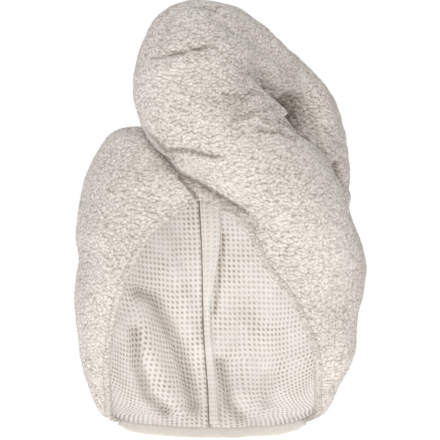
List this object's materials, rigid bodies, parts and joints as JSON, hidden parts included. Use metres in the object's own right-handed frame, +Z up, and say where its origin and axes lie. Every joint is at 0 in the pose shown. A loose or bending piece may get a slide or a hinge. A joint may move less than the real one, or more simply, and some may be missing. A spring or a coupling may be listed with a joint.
{
  "type": "hair turban towel",
  "caption": "Worn hair turban towel: hood of waffle cloth open at the face, with a twisted tail wound over the crown and buttoned at the nape.",
  "frame": {"origin": "inside of the crown, where the top of the wearer's head touches it", "axes": "+Z up, the face opening towards -Y, +X to the right-hand side of a front view"},
  "size_m": [0.2169, 0.2733, 0.3252],
  "materials": {
    "waffle_cloth": "nubby greige waffle weave, matt",
    "hem_cloth": "rolled waffle cloth, whip-stitched, matt",
    "plain_cloth": "smooth ribbed cream cloth, matt",
    "button": "satin cream"
  },
  "bodies": {
    "root": {"hood_panel_left": "waffle_cloth", "hood_panel_right": "waffle_cloth", "twisted_tail": "waffle_cloth", "opening_hem_left": "hem_cloth", "opening_hem_right": "hem_cloth", "nape_band": "plain_cloth", "seam_allowance": "plain_cloth", "nape_button": "button"}
  },
  "joints": []
}
